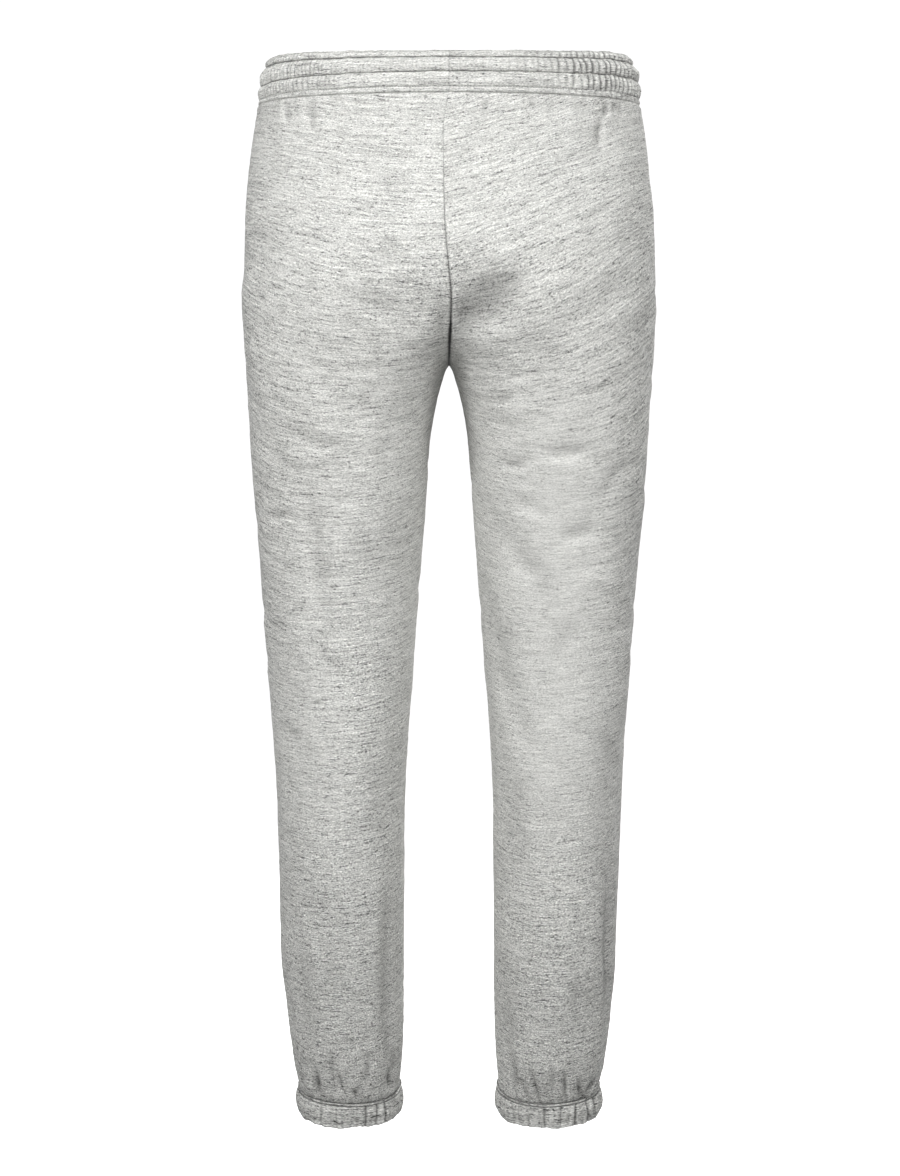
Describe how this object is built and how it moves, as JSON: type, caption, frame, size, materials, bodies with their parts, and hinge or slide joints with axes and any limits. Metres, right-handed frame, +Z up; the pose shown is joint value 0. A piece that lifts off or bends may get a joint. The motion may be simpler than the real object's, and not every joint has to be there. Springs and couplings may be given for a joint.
{
  "type": "jogger sweatpants",
  "caption": "Jogger sweatpants in worn form with no wearer: hollow seat and legs, stitched elastic waistband, gathered ankle cuffs.",
  "frame": {"origin": "middle of the waist opening, at half the height of the waistband, where the wearer's waist holds the garment", "axes": "+Z up along the body, the front faces -Y, +X is the wearer's left"},
  "size_m": [0.3882, 0.2421, 0.9972],
  "materials": {
    "cloth": "grey marl sweatshirt cloth, matt, with short darker and lighter flecks along the courses",
    "band_cloth": "the same cloth folded over elastic, stitched in channels and finely gathered",
    "cuff_cloth": "the same cloth folded over elastic, gathered, with a double row of stitches at its seam"
  },
  "bodies": {
    "root": {"back_left": "cloth", "back_right": "cloth", "front_left": "cloth", "front_right": "cloth", "waistband": "band_cloth", "cuff_left": "cuff_cloth", "cuff_right": "cuff_cloth"}
  },
  "joints": []
}
